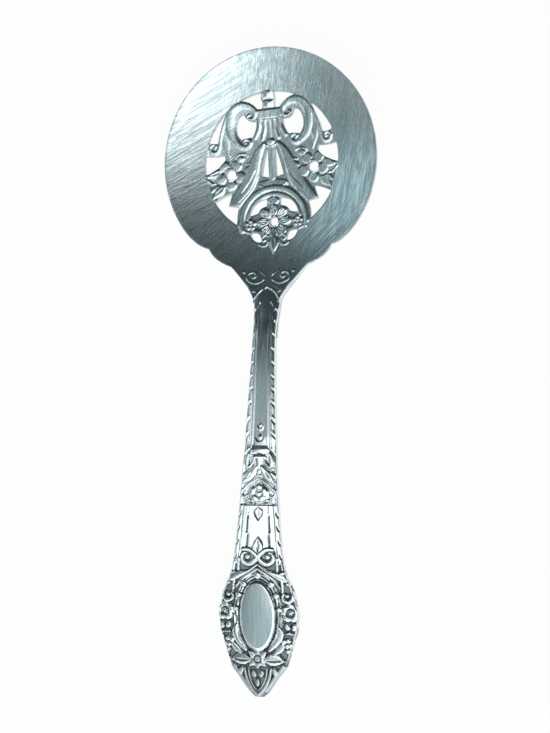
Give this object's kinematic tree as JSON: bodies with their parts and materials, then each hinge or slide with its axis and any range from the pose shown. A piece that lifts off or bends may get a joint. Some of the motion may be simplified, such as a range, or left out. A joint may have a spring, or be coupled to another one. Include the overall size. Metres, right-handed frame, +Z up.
{
  "type": "bonbon spoon",
  "caption": "Serving spoon with a shallow round pierced bowl, scalloped shoulders and a relief handle that laps over the neck, for lifting sweets and nuts.",
  "frame": {"origin": "middle of the bounding box, on the table that the bowl's underside and the handle's tip rest on", "axes": "+Y from the handle's tip to the bowl's far rim, +X across, +Z up out of the bowl"},
  "size_m": [0.0458, 0.13, 0.0063],
  "materials": {
    "silver_bowl": "bright silver plate with fine scratches, over a copper alloy",
    "silver_handle": "bright silver plate with darkened recesses, over a copper alloy",
    "solder": "dull silver solder"
  },
  "bodies": {
    "root": {"pierced_bowl": "silver_bowl", "handle": "silver_handle", "solder_seam": "solder"}
  },
  "joints": []
}
